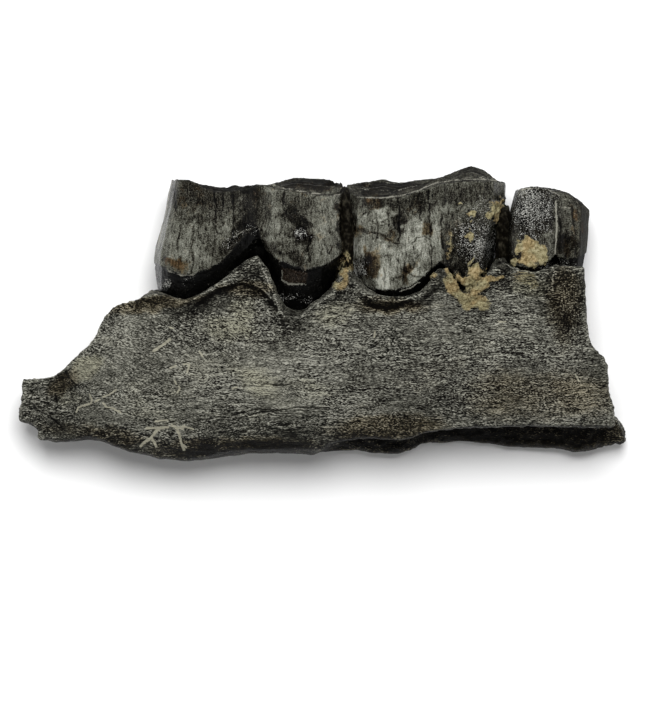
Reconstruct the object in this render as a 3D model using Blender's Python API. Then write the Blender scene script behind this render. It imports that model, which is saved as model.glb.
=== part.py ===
"""A fossil length of deer jaw: the left lower jawbone, with three cheek teeth fixed in their sockets.

The fossil lies on its tongue side, with its cheek side up. X runs along the jaw from its front end to its
back end, Y runs across it from the lower border to the biting edges, and Z is up, out of the cheek side.
The origin is on the surface that the fossil rests on, under the middle of its outline.

Lengths are in millimetres until place() turns them into metres.
"""

import math

import bmesh
import bpy
from mathutils import Vector, noise

MM = 0.001

# Jawbone. A face's gum line and lower edge are (x, y) points from the front to the back, and its broken ends
# are (y, x) points from the lower edge up.
BONE_FRONT, BONE_BACK = -29.2, 26.1
BORDER_Y, CREST_Y = -14.9, 4.5
BONE_THICKNESS = 10.8
CHEEK_FACE = {
    "gum_line": [
        (-30.3, -6.7), (-27.5, -6.5), (-26.5, -6.1), (-25.5, -5.1), (-24.1, -3.9), (-22.9, -2.6),
        (-22.2, -1.5), (-21.8, 0.1), (-20.3, 0.8), (-18.5, 1.4), (-16.9, 1.9), (-13.6, 1.1),
        (-11.8, 1.9), (-10.3, 2.9), (-7.6, 5.2), (-6.4, 5.8), (-5.2, 3.4), (-4.2, 0.7),
        (-3.4, -0.5), (-2.2, -0.5), (-1.0, 0.4), (0.7, 1.8), (2.3, 3.9), (3.2, 3.2),
        (4.4, 2.0), (6.4, 1.4), (8.6, 1.5), (9.9, 2.1), (10.9, 3.3), (11.8, 4.6),
        (12.8, 3.3), (14.2, 1.7), (15.2, 2.2), (16.4, 3.7), (18.2, 4.9), (19.5, 4.1),
        (21.2, 4.0), (23.0, 4.6), (26.5, 4.6),
    ],
    "lower_edge": [
        (-28.5, -12.6), (-25.9, -12.8), (-23.5, -12.4), (-21.9, -12.7), (-20.7, -13.3), (-18.7, -14.0),
        (-17.1, -14.1), (-16.2, -14.6), (-13.8, -14.7), (-11.8, -14.4), (-9.3, -13.9), (-4.8, -13.6),
        (-0.4, -13.7), (1.0, -12.9), (4.2, -12.5), (8.2, -12.6), (9.8, -12.0), (12.7, -11.5),
        (16.7, -11.4), (22.2, -11.2), (26.2, -11.4), (29.2, -11.3),
    ],
    "front_end": [
        (-12.6, -28.5), (-11.9, -28.5), (-11.4, -28.8), (-11.0, -30.0), (-10.6, -30.5), (-9.9, -30.5),
        (-9.3, -30.3), (-8.5, -30.1), (-6.7, -30.0),
    ],
    "back_end": [
        (-11.5, 29.0), (-10.4, 29.2), (-9.0, 28.9), (-7.8, 28.5), (-5.0, 28.5), (-4.2, 27.8),
        (-3.6, 26.9), (-1.7, 26.4), (2.9, 26.1), (4.6, 26.1),
    ],
    "rows": 10,
}
TONGUE_FACE = {
    "gum_line": [
        (-30.3, -7.0), (-26.8, -6.7), (-25.2, -5.6), (-21.7, -1.9), (-20.6, 0.2), (-17.5, 1.9),
        (-9.0, 3.0), (0.0, 3.4), (2.3, 4.4), (5.0, 3.6), (12.0, 3.8), (16.4, 4.4),
        (17.8, 6.2), (19.0, 4.8), (26.5, 4.3),
    ],
    "lower_edge": [
        (-28.0, -11.8), (-22.0, -12.0), (-17.0, -13.4), (-11.8, -13.9), (-4.8, -13.4), (-0.4, -13.8),
        (3.8, -14.0), (7.6, -14.2), (8.9, -13.7), (10.2, -13.2), (14.4, -13.0), (17.2, -13.2),
        (18.5, -13.6), (21.9, -13.6), (26.3, -14.1), (28.0, -13.5), (30.5, -13.1),
    ],
    "front_end": [(-12.0, -28.0), (-10.6, -29.6), (-8.5, -29.9), (-6.8, -29.4)],
    "back_end": [
        (-13.1, 30.4), (-12.4, 30.5), (-11.3, 30.3), (-10.2, 29.0), (-7.0, 27.7), (-5.0, 27.3),
        (-3.0, 26.3), (4.6, 26.0),
    ],
    "rows": 8,
}
END_REACH = 10.0
# Shares of the thickness, from the lower border (0) to the sockets (1).
CHEEK_PROFILE = [(0, 0.62), (0.06, 0.75), (0.15, 0.87), (0.3, 0.95), (0.55, 1), (0.8, 0.99), (1.3, 0.95)]
CHEEK_ALONG = [(-30.5, 0.66), (-24, 0.8), (-17, 0.92), (-8, 1), (15, 1), (26, 0.96), (30.5, 0.93)]
TONGUE_PROFILE = [(0, 3.4), (0.06, 1.7), (0.14, 0.5), (0.22, -0.3), (0.85, -0.3), (1.0, 0.2), (1.2, 0.6)]
TONGUE_ALONG = [(-30.5, 2.2), (-25, 0.9), (-19, 0), (20, 0), (26, 0.5), (30.5, 1.1)]
# Swellings and hollows of the cheek face: (x, y, reach along, reach across, height).
CHEEK_RELIEF = [
    (-8.2, 0.3, 4.0, 2.8, 0.55), (-13.4, -0.6, 2.4, 1.8, -0.35), (-2.4, -2.6, 2.6, 2.0, -0.3),
    (2.6, 1.6, 1.8, 2.4, 0.45), (7.2, -0.6, 4.0, 1.6, 0.3), (14.5, -0.6, 3.0, 1.6, -0.25),
    (21.0, 1.2, 2.6, 2.0, -0.35), (25.6, -2.4, 2.2, 3.4, -0.7), (-22.0, -9.0, 4.5, 2.2, 0.3),
]
# The flake lost from the front end: the ledge runs from its top to past its bottom, where it fades out, and
# the face in front of it lies lower.
LEDGE_TOP, LEDGE_BOTTOM = Vector((-25.8, -5.6)), Vector((-22.6, -8.8))
LEDGE_DROP, LEDGE_WIDTH, LEDGE_END, LEDGE_FADE = 0.9, 0.5, 1.4, 0.8
# The channel along the inside of the bone, open below where the lower border has broken away.
CANAL_RISE = [(-1.0, 0), (2.0, 1.2), (6.0, 2.8), (12.0, 4.0), (30.5, 4.8)]
CANAL_SHAPE = [(0.12, 0), (0.22, 0.5), (0.32, 0.95), (0.52, 1.05), (0.7, 0.95), (0.8, 0.5), (0.89, 0)]
CANAL_OPENS_AT, LOWER_BORDER_SAG = 1.5, 0.55
# The empty socket in front of the first tooth, broken open above.
EMPTY_SOCKET_DEPTH = [(-24.5, 0), (-21.5, 1.8), (-18.6, 2.2), (-17.2, -0.5), (26.5, -0.5)]
# The lower border is rough all along, and the gum line only in front of the teeth.
BREAK_ROUGHNESS, BREAK_GRAIN, ROUGH_GUM_END = 0.16, 1.4, -16.0
BONE_STATIONS, GUM_ROWS = 61, 4
# Above 1, the rows of points crowd towards the lower edge.
ROW_CROWDING = 1.25
# The front end is closed by narrower and narrower loops, each this share of the bone's thickness.
FRONT_END_LOOPS = [0.25, 0.6]

# Teeth. A lobe is one column of the crown with its root: its span is where it starts, is widest and ends
# along X, its neck is how low the enamel reaches at those three places, and its root is how deep it goes.
SOCKET_GAP, SHARPEST_CORNER = 0.35, 1.6
TOOTH_MID_Z, CROWN_TOP = 5.4, 13.0
# The faces of a crown at the fullest of a lobe and in the groove beside it, from the neck (0) to the rim (1).
CHEEK_SIDE = {
    "bulge": [(0, 9.75), (0.15, 9.9), (0.5, 9.5), (1, 8.3)],
    "groove": [(0, 8.0), (0.5, 7.0), (1, 6.3)],
}
TONGUE_SIDE = {
    "bulge": [(0, 1.35), (0.3, 1.2), (1, 2.3)],
    "groove": [(0, 2.0), (1, 3.0)],
}
LOBE_FLATNESS, LOBE_ROUNDNESS = 3.2, 0.5
# How far an end face stays short of the groove's depth.
END_FLATNESS = 0.42
# The biting surface from the cheek rim (0) to the tongue rim (1): worn hollows between enamel ridges.
CROWN_WEAR = [(0.14, -0.3), (0.28, 0.0), (0.42, -1.0), (0.56, -0.9), (0.7, 0.05), (0.86, -0.3)]
ENAMEL_STEP, NECK_CURVE = 0.4, 2.2
FORK_BELOW_NECK, FORK_CURVE = 1.2, 3.0
ROOT_TIP_THICKNESS, ROOT_TAPER = 0.3, 0.6
ROOT_ROWS, CROWN_ROWS, TOOTH_STEP = 4, 6, 0.72

# An end's lean is how much further along its tongue side is: neighbours lean alike, so no gap between them
# shows right through. The groove is the share of its full depth that the groove between the lobes has.
FRONT_MOLAR = {
    "lobes": [
        {"span": (-16.9, -13.6, -6.2), "neck": (5.2, 3.7, 7.9), "root": -5.0},
        {"span": (-6.2, -2.1, 2.1), "neck": (7.9, 4.1, 6.0), "root": -5.5},
    ],
    "groove": 1.0,
    "front_end": [(2.0, -17.0), (5.6, -17.0), (8.0, -16.4), (10.4, -15.8), (12.8, -15.4), (13.5, -15.2)],
    "back_end": [(-6, 2.0), (3.0, 2.2), (6.0, 2.6), (13.5, 2.7)],
    "lean": (0.2, -1.1),
    "cheek_rim": [
        (-15.3, 13.4), (-13.1, 13.2), (-11.7, 12.4), (-10.7, 12.1), (-7.8, 12.4), (-6.2, 12.8),
        (-5.2, 12.4), (-2.2, 12.2), (-1.3, 11.8), (2.2, 11.7),
    ],
    "tongue_rim": [
        (-15.3, 13.3), (-12.3, 13.0), (-10.5, 12.7), (-9.3, 12.6), (-8.7, 12.9), (-7.8, 12.6),
        (-7.2, 12.9), (-5.7, 12.9), (-4.3, 13.2), (-2.9, 13.65), (-0.1, 13.5), (2.2, 13.0),
    ],
}
MIDDLE_MOLAR = {
    "lobes": [
        {"span": (2.6, 7.4, 11.7), "neck": (5.2, 2.1, 5.2), "root": -5.5},
        {"span": (11.7, 14.6, 17.0), "neck": (5.2, 3.2, 5.4), "root": -5.0},
    ],
    "groove": 0.4,
    "front_end": [(-6, 3.7), (3.0, 3.5), (6.0, 3.05), (13.5, 3.05)],
    "back_end": [
        (3.0, 16.4), (5.3, 16.5), (7.4, 17.0), (8.8, 17.3), (10.0, 17.55), (12.0, 17.8), (14.0, 17.9),
    ],
    "lean": (-1.1, 0.8),
    "cheek_rim": [
        (2.4, 12.2), (3.8, 11.7), (5.5, 11.5), (7.6, 11.6), (9.3, 12.1), (11.0, 12.7),
        (12.7, 13.0), (14.5, 13.2), (17.9, 13.1), (18.4, 12.8),
    ],
    "tongue_rim": [
        (2.4, 12.9), (5.3, 13.35), (6.5, 13.5), (7.2, 13.1), (9.3, 13.4), (11.0, 13.5), (12.7, 14.0),
        (14.1, 14.6), (14.9, 14.85), (16.4, 14.25), (17.7, 13.2), (18.4, 12.9),
    ],
}
REAR_MOLAR = {
    "lobes": [
        {"span": (18.2, 20.6, 23.3), "neck": (6.3, 4.5, 5.9), "root": -4.5},
        {"span": (23.3, 24.7, 26.2), "neck": (5.9, 5.2, 6.2), "root": -3.5},
    ],
    "groove": 0.35,
    "front_end": [
        (-5, 18.6), (3.0, 18.4), (5.3, 18.0), (7.4, 17.9), (8.8, 18.1), (10.0, 18.3), (12.5, 18.95),
    ],
    "back_end": [(-5, 25.5), (3.0, 25.9), (5.2, 26.4), (8.0, 26.75), (9.6, 26.85), (10.4, 27.0)],
    "lean": (0.8, -0.4),
    "cheek_rim": [
        (18.4, 12.3), (20.2, 12.5), (21.3, 12.6), (22.6, 12.3), (24.5, 11.8), (25.5, 11.2), (26.7, 9.9),
    ],
    "tongue_rim": [(18.4, 12.2), (21.3, 12.7), (22.6, 12.6), (24.5, 12.1), (25.5, 11.6), (26.8, 10.2)],
}
MOLARS = {"front_molar": FRONT_MOLAR, "middle_molar": MIDDLE_MOLAR, "rear_molar": REAR_MOLAR}

BONE_FINISH = {"colour": (0.105, 0.103, 0.095), "roughness": 0.7}
TOOTH_FINISH = {"colour": (0.185, 0.185, 0.17), "roughness": 0.35}


def curve_at(points, x):
    """The value at x of a smooth curve through the points, which never swings past a neighbour."""
    if x <= points[0][0]:
        return points[0][1]
    if x >= points[-1][0]:
        return points[-1][1]
    i = next(k for k in range(len(points) - 1) if x <= points[k + 1][0])

    def slope(k):
        return (points[k + 1][1] - points[k][1]) / (points[k + 1][0] - points[k][0])

    def tangent(k):
        if k in (0, len(points) - 1):
            return slope(min(k, len(points) - 2))
        before, after = slope(k - 1), slope(k)
        return 2 * before * after / (before + after) if before * after > 0 else 0.0

    (x0, y0), (x1, y1) = points[i], points[i + 1]
    width = x1 - x0
    t = (x - x0) / width
    return (
        y0 * (2 * t**3 - 3 * t**2 + 1)
        + y1 * (3 * t**2 - 2 * t**3)
        + tangent(i) * width * (t**3 - 2 * t**2 + t)
        + tangent(i + 1) * width * (t**3 - t**2)
    )


def between(a, b, share):
    return a + (b - a) * share


def ease(t):
    """0 below 0, 1 above 1, and a smooth climb between."""
    t = min(max(t, 0.0), 1.0)
    return t * t * (3 - 2 * t)


def break_noise(x, y, z):
    """The small unevenness of a broken edge."""
    return BREAK_ROUGHNESS * noise.noise(Vector((x / BREAK_GRAIN, y / BREAK_GRAIN, z)))


def height_share(y):
    """0 at the bone's lower border, 1 at its sockets."""
    return (y - BORDER_Y) / (CREST_Y - BORDER_Y)


def ledge_depth(x, y):
    """How far the lost flake has lowered the cheek face."""
    along = LEDGE_BOTTOM - LEDGE_TOP
    point = Vector((x, y)) - LEDGE_TOP
    in_front = (point.y * along.x - point.x * along.y) / along.length
    down = point.dot(along) / along.length_squared
    return LEDGE_DROP * ease(-in_front / LEDGE_WIDTH) * ease((LEDGE_END - down) / LEDGE_FADE)


def cheek_z(x, y):
    z = BONE_THICKNESS * curve_at(CHEEK_ALONG, x) * curve_at(CHEEK_PROFILE, height_share(y))
    for bump_x, bump_y, reach_x, reach_y, height in CHEEK_RELIEF:
        away = ((x - bump_x) / reach_x) ** 2 + ((y - bump_y) / reach_y) ** 2
        z += height * math.exp(-away)
    return z - ledge_depth(x, y)


def tongue_z(x, y):
    """The tongue face is flat where the fossil rests, and lifts off the surface round the edges."""
    return max(0.0, curve_at(TONGUE_PROFILE, height_share(y)) + curve_at(TONGUE_ALONG, x))


def jaw_along(x, y, face):
    """Where a point of a face is along the jaw, with the shape of the broken ends added."""
    to_front = ease(1 - (x - BONE_FRONT) / END_REACH) ** 2
    to_back = ease(1 - (BONE_BACK - x) / END_REACH)
    front = (curve_at(face["front_end"], y) - BONE_FRONT) * to_front
    back = (curve_at(face["back_end"], y) - BONE_BACK) * to_back
    return x + front + back


def jaw_edge(x, face, edge):
    """The height of a face's gum line or lower edge, read where the broken ends have moved it to."""
    first, last = face[edge][0][1], face[edge][-1][1]
    return curve_at(face[edge], jaw_along(x, first if x < 0 else last, face))


def jaw_column(x, face, depth):
    """One column of points up a face of the bone, from its lower edge to its gum line."""
    low, high = jaw_edge(x, face, "lower_edge"), jaw_edge(x, face, "gum_line")
    low += break_noise(x, low, depth(x, low))
    high += break_noise(x, high, BONE_THICKNESS) * ease((ROUGH_GUM_END - x) / 2)
    points = []
    for k in range(face["rows"] + 1):
        y = between(low, high, (k / face["rows"]) ** ROW_CROWDING)
        along = jaw_along(x, y, face)
        points.append(Vector((along, y, depth(along, y))))
    return points


def jaw_section(x):
    """A closed loop of points round the bone at one place along it."""
    cheek = jaw_column(x, CHEEK_FACE, cheek_z)
    tongue = jaw_column(x, TONGUE_FACE, tongue_z)
    gum = []
    for k in range(1, GUM_ROWS):
        share = k / GUM_ROWS
        point = cheek[-1].lerp(tongue[-1], share)
        point.y -= curve_at(EMPTY_SOCKET_DEPTH, x) * math.sin(math.pi * share)
        gum.append(point)
    border = []
    rise = curve_at(CANAL_RISE, x)
    closed = 1 - ease(rise / CANAL_OPENS_AT)
    for share, part in CANAL_SHAPE:
        point = tongue[0].lerp(cheek[0], share)
        point.y += rise * part - closed * LOWER_BORDER_SAG * math.sin(math.pi * share)
        point.x = between(jaw_along(x, point.y, TONGUE_FACE), jaw_along(x, point.y, CHEEK_FACE), share)
        border.append(point)
    return cheek + gum + tongue[::-1] + border


def front_end_loop(share):
    """The bone's first loop drawn in to a share of its thickness, so its end keeps its broken outline."""
    loop = jaw_section(BONE_FRONT)
    middle = sum(point.z for point in loop) / len(loop)
    for point in loop:
        point.z = between(middle, point.z, share)
    return loop


def tooth_span(molar):
    """Where a tooth starts and ends along the jaw."""
    return molar["lobes"][0]["span"][0], molar["lobes"][-1]["span"][2]


def lobe_at(molar, x):
    """The lobe at x, and where x is in it: -1 at its start, 0 at its widest and 1 at its end."""
    lobe = next((each for each in molar["lobes"] if x <= each["span"][2]), molar["lobes"][-1])
    start, middle, end = lobe["span"]
    place = (x - middle) / (middle - start if x < middle else end - middle)
    return lobe, min(max(place, -1.0), 1.0)


def tooth_point(molar, x, y, z):
    """A point of a tooth, moved along the jaw by the shape and the lean of the tooth's ends."""
    first, last = tooth_span(molar)
    front_middle, back_middle = molar["lobes"][0]["span"][1], molar["lobes"][-1]["span"][1]
    to_front = ease((front_middle - x) / (front_middle - first))
    to_back = ease((x - back_middle) / (last - back_middle))
    cheek, tongue = CHEEK_SIDE["bulge"][0][1], TONGUE_SIDE["bulge"][0][1]
    inward = (cheek - z) / (cheek - tongue)
    front = curve_at(molar["front_end"], y) - first + inward * molar["lean"][0]
    back = curve_at(molar["back_end"], y) - last + inward * molar["lean"][1]
    return Vector((x + front * to_front + back * to_back, y, z))


def tooth_column(molar, x, side, rim, outward):
    """One column of points up a side of a tooth, from its root's tip to its rim. Outward is along Z."""
    lobe, place = lobe_at(molar, x)
    fullness = (1 - abs(place) ** LOBE_FLATNESS) ** LOBE_ROUNDNESS
    at_end = place < 0 if lobe is molar["lobes"][0] else place > 0
    start, low, end = lobe["neck"]
    neck = between(low, start if place < 0 else end, abs(place) ** NECK_CURVE)
    tip = between(lobe["root"], neck - FORK_BELOW_NECK, abs(place) ** FORK_CURVE)
    root_edge = between(TOOTH_MID_Z, side["groove"][0][1], END_FLATNESS)
    root_face = between(root_edge, side["bulge"][0][1] - outward * ENAMEL_STEP, fullness)
    points = []
    for k in range(ROOT_ROWS):
        share = k / ROOT_ROWS
        thickness = between(ROOT_TIP_THICKNESS, 1, share**ROOT_TAPER)
        points.append((between(tip, neck, share), between(TOOTH_MID_Z, root_face, thickness)))
    for k in range(CROWN_ROWS + 1):
        share = k / CROWN_ROWS
        bulge, groove = curve_at(side["bulge"], share), curve_at(side["groove"], share)
        end_edge, groove_edge = between(TOOTH_MID_Z, groove, END_FLATNESS), between(bulge, groove, molar["groove"])
        points.append((between(neck, rim, share), between(end_edge if at_end else groove_edge, bulge, fullness)))
    return [tooth_point(molar, x, y, z) for y, z in points]


def tooth_section(molar, x):
    """A closed loop of points round the tooth at one place along it."""
    columns = []
    for side, rim, outward in ((CHEEK_SIDE, "cheek_rim", 1), (TONGUE_SIDE, "tongue_rim", -1)):
        along = tooth_point(molar, x, CROWN_TOP, side["bulge"][-1][1]).x
        columns.append(tooth_column(molar, x, side, curve_at(molar[rim], along), outward))
    cheek, tongue = columns
    _, place = lobe_at(molar, x)
    biting = []
    for share, wear in CROWN_WEAR:
        point = cheek[-1].lerp(tongue[-1], share)
        point.y += wear * (1 - abs(place) ** LOBE_FLATNESS) ** LOBE_ROUNDNESS
        biting.append(point)
    return cheek + biting + tongue[::-1]


def skin(loops):
    """A closed mesh over a row of loops, with its two ends filled."""
    mesh = bmesh.new()
    rings = []
    for loop in loops:
        corners = [mesh.verts.new(point) for point in loop]
        count = len(corners)
        rings.append([mesh.edges.new((corners[k], corners[(k + 1) % count])) for k in range(count)])
    for ring, following in zip(rings, rings[1:]):
        bmesh.ops.bridge_loops(mesh, edges=ring + following)
    for ring in (rings[0], rings[-1]):
        bmesh.ops.contextual_create(mesh, geom=ring)
    bmesh.ops.triangulate(mesh, faces=[face for face in mesh.faces if len(face.verts) > 4])
    bmesh.ops.recalc_face_normals(mesh, faces=mesh.faces)
    return mesh


def place(name, mesh):
    """An object in metres, made from a mesh in millimetres."""
    bmesh.ops.scale(mesh, vec=(MM, MM, MM), verts=mesh.verts)
    data = bpy.data.meshes.new(name)
    mesh.to_mesh(data)
    mesh.free()
    thing = bpy.data.objects.new(name, data)
    bpy.context.scene.collection.objects.link(thing)
    return thing


def finish(thing, look):
    """Gives an object its own plain material."""
    material = bpy.data.materials.new(thing.name)
    material.use_nodes = True
    shader = material.node_tree.nodes["Principled BSDF"]
    shader.inputs["Base Color"].default_value = (*look["colour"], 1)
    shader.inputs["Roughness"].default_value = look["roughness"]
    shader.inputs["Metallic"].default_value = 0
    thing.data.materials.append(material)


def stations(start, end, count):
    return [between(start, end, k / count) for k in range(count + 1)]


def tooth_mesh(molar):
    first, last = tooth_span(molar)
    along = stations(first, last, round((last - first) / TOOTH_STEP))
    return skin([tooth_section(molar, x) for x in along])


def make_socket(name, molar):
    """The tooth's shape with a gap added all round it, to cut from the bone."""
    mesh = tooth_mesh(molar)
    mesh.normal_update()
    moves = [vert.normal * SOCKET_GAP * min(vert.calc_shell_factor(), SHARPEST_CORNER) for vert in mesh.verts]
    for vert, move in zip(mesh.verts, moves):
        vert.co += move
    socket = place(name, mesh)
    socket.hide_render = True
    socket.display_type = "WIRE"
    return socket


def make_jawbone():
    """The bone, with a socket cut for each tooth."""
    loops = [front_end_loop(share) for share in FRONT_END_LOOPS]
    loops += [jaw_section(x) for x in stations(BONE_FRONT, BONE_BACK, BONE_STATIONS)]
    bone = place("jawbone", skin(loops))
    for name, molar in MOLARS.items():
        socket = make_socket(f"{name}_socket", molar)
        cut = bone.modifiers.new(socket.name, "BOOLEAN")
        cut.operation = "DIFFERENCE"
        cut.solver = "EXACT"
        cut.object = socket
    return bone


def main():
    for thing in list(bpy.data.objects):
        bpy.data.objects.remove(thing)
    finish(make_jawbone(), BONE_FINISH)
    for name, molar in MOLARS.items():
        finish(place(name, tooth_mesh(molar)), TOOTH_FINISH)


main()
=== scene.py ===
"""The looks of a fossil length of deer jaw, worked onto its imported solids.

Lengths are in millimetres until a piece is finished, in the solids' frame: X runs along the jaw to its
back end, Y up to the biting edges and Z out of the cheek side. A place read from the photograph is a pixel,
across and down, and a Relief knows which pixel shows each of its points. A line is a list of pixels. A patch
is (across, down, reach across, reach down, percent), in pixels, and where it is turned, the degrees last.
"""

import math

import bmesh
import bpy
import numpy as np
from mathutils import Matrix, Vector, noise


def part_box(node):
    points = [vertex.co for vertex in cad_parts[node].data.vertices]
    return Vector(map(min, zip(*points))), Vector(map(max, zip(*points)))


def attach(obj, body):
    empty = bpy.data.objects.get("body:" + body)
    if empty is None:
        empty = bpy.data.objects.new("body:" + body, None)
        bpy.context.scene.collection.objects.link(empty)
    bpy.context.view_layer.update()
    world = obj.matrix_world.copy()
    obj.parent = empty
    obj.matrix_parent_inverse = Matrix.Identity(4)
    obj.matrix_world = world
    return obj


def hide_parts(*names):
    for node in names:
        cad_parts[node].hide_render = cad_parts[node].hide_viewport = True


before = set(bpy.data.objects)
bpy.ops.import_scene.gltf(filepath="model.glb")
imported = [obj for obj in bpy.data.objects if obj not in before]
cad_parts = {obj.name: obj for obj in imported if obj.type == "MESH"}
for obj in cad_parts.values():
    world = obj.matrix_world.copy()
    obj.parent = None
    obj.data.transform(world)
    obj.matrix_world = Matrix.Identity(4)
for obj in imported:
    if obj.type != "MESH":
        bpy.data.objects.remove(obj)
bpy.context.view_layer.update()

# A millimetre, and how near each other points are merged, in metres.
MM = 0.001
WELD = 1e-7
# How far apart in the noise two seeds are.
SEED_GAP = 17.3

# The photograph and the camera, which looks straight down. One pixel is PIXEL long at SUBJECT_HEIGHT.
PHOTO_SIZE = (665, 702)
PIXEL = 0.1
PHOTO_MIDDLE = (0.95, -3.85)
SUBJECT_HEIGHT = 7.0
LENS, SENSOR = 500.0, 36.0
CAMERA_DISTANCE = PHOTO_SIZE[1] * PIXEL * LENS / SENSOR

# Each piece's fine mesh: the spacing of its points, and how many rounds even it out.
FINE_MESH = {
    "jawbone": (0.225, 8),
    "front_molar": (0.12, 24),
    "middle_molar": (0.12, 24),
    "rear_molar": (0.115, 24),
}

# Jawbone. The second arch stands below the first socket's rim, over a dark crevice.
ARCH_RIDGE = [
    (194, 301), (207, 293), (216, 286), (228, 281), (243, 278), (256, 282), (268, 292), (275, 301),
    (281, 312),
]
ARCH_CREVICE = [
    (203, 302), (214, 293), (226, 287), (238, 284), (249, 286), (260, 292), (269, 301), (275, 312),
]
SOCKET_RIMS = [
    [(141, 299), (155, 296), (164, 298)],
    [(281, 313), (288, 318), (301, 316), (315, 307), (328, 299), (338, 291)],
    [(352, 284), (362, 292), (372, 298), (387, 301), (403, 300), (421, 295), (437, 285)],
    [(443, 269), (454, 284), (467, 299), (479, 289), (488, 278), (505, 277)],
    [(498, 258), (505, 265), (513, 268), (527, 270), (545, 268)],
]
RIM_CREVICES = [
    [(357, 296), (375, 305), (395, 307), (418, 301), (436, 291)], [(447, 283), (456, 294), (463, 303)],
]
# Thin pale edges of bone round the sockets, partly worn and partly painted highlight; painted shade along
# crevices; and the fine dark cracks.
PALE_EDGES = [
    [(131, 301), (145, 297), (158, 295)],
    [(192, 301), (203, 294), (213, 288), (224, 282), (236, 279), (246, 281)],
    [(215, 283), (227, 277), (241, 275), (254, 280), (263, 288)],
    [(230, 278), (240, 272), (251, 265), (257, 257)],
    [(259, 262), (265, 273), (270, 286), (275, 297), (279, 309), (284, 317)],
    [(303, 315), (313, 306), (323, 300), (335, 291)],
    [(207, 292), (219, 287), (231, 284), (241, 282), (253, 284), (261, 288), (270, 296), (276, 305)],
    [(362, 293), (374, 299), (392, 301), (408, 299), (424, 293)],
    [(498, 257), (502, 263), (512, 268), (527, 270)], [(509, 274), (520, 270), (534, 274), (540, 282)],
    [(557, 258), (563, 259), (570, 257)], [(553, 262), (552, 277), (552, 292)],
    [(556, 265), (568, 267), (582, 264)], [(556, 269), (570, 271), (584, 268)],
    [(556, 274), (570, 276), (586, 272)],
]
CREVICE_SHADOWS = [
    [
        (196, 305), (204, 299), (213, 295), (222, 290), (233, 287), (242, 285), (251, 287), (260, 290),
        (267, 296), (273, 302), (277, 309),
    ],
    [(366, 303), (375, 307), (386, 309), (399, 305), (412, 301)],
]
DARK_CRACKS = [
    [(233, 419), (262, 412), (298, 407), (330, 408)], [(262, 384), (276, 385), (292, 384)],
    [(232, 415), (254, 409), (276, 410)], [(66, 371), (72, 381), (80, 389)], [(555, 270), (569, 269)],
    [(554, 275), (568, 275)], [(555, 280), (568, 280)], [(470, 355), (500, 352), (524, 354)],
    [(340, 392), (372, 388), (398, 389)], [(32, 404), (40, 412), (50, 416), (62, 428)],
    [(56, 394), (58, 408)], [(62, 368), (70, 378)],
]
# Patches of lighter and darker bone, partly its own colour and partly painted shade beside the sockets and
# along the lower edge.
BONE_TONES = [
    (125, 338, 18, 28, 16, 15), (86, 368, 15, 9, 20, -38), (224, 328, 24, 12, 20), (240, 312, 13, 15, 14),
    (195, 366, 24, 14, 10), (262, 384, 26, 12, 16, 30), (305, 368, 36, 24, 12), (298, 404, 28, 7, 10),
    (165, 420, 13, 9, 12), (338, 313, 20, 12, 16, -15), (436, 330, 18, 11, 8), (505, 330, 28, 16, 7, 10),
    (480, 412, 28, 7, 6), (572, 414, 36, 7, 8), (135, 398, 32, 20, 8), (240, 372, 60, 26, 6),
    (62, 384, 16, 9, -24, -40), (46, 424, 26, 8, -20, 15), (108, 436, 30, 7, -24, 10),
    (115, 311, 15, 5, -20, -25), (150, 302, 26, 5, -22, -8), (192, 308, 26, 7, -26, -5),
    (178, 328, 16, 14, -7), (240, 291, 26, 6, -24), (245, 449, 60, 8, -32, -2), (248, 306, 14, 7, -16),
    (506, 265, 7, 7, -30), (591, 419, 12, 8, -14), (583, 300, 7, 40, -22), (192, 449, 26, 8, -30),
    (222, 431, 22, 7, -8), (342, 300, 12, 7, -22), (388, 305, 34, 6, -22), (388, 429, 46, 11, -32, -5),
    (436, 404, 26, 9, -7), (567, 298, 16, 34, -38), (566, 330, 12, 16, -20, -20), (592, 362, 12, 22, -13),
    (506, 288, 9, 5, -28), (547, 296, 12, 20, -18), (275, 430, 85, 14, -14), (480, 408, 90, 22, -6),
    (95, 432, 60, 12, -12, 10), (50, 402, 24, 26, -10), (250, 270, 18, 14, -30), (500, 370, 110, 50, -5),
    (35, 396, 10, 22, -2), (290, 326, 22, 8, -16), (430, 295, 12, 9, -16), (608, 392, 6, 20, -10),
    (438, 276, 8, 9, -12), (504, 274, 9, 10, -13), (349, 284, 8, 12, -10), (269, 276, 8, 14, -10, -20),
    (220, 300, 22, 7, -13), (333, 307, 14, 9, -8), (435, 298, 12, 7, 10), (290, 431, 46, 8, -8),
    (300, 325, 20, 6, 6), (45, 418, 16, 10, 8), (539, 281, 14, 10, -6), (569, 272, 16, 14, -10),
]
BONE_YELLOWS = [
    (86, 368, 17, 10, 100, -38), (226, 328, 28, 14, 70), (241, 312, 15, 18, 60), (262, 384, 28, 14, 60, 30),
    (338, 313, 22, 12, 60, -15), (150, 400, 30, 30, 35), (300, 392, 40, 18, 35), (70, 397, 14, 9, 50),
    (165, 418, 16, 12, 50), (530, 285, 20, 12, 80, 10), (205, 360, 30, 20, 30),
]
BONE_BROWNS = [
    (540, 395, 90, 26, 60), (388, 428, 56, 14, 90, -5), (64, 384, 18, 10, 90, -40), (245, 446, 90, 10, 70),
    (565, 300, 18, 40, 70), (150, 304, 60, 8, 80, -8), (246, 289, 30, 8, 90), (390, 306, 40, 8, 80),
    (100, 434, 60, 9, 50, 8), (190, 448, 40, 10, 70), (440, 378, 60, 18, 25),
]
SEDIMENT_RIDGE = [(444, 268), (454, 283), (466, 298), (478, 289), (487, 278), (504, 276)]
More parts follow.
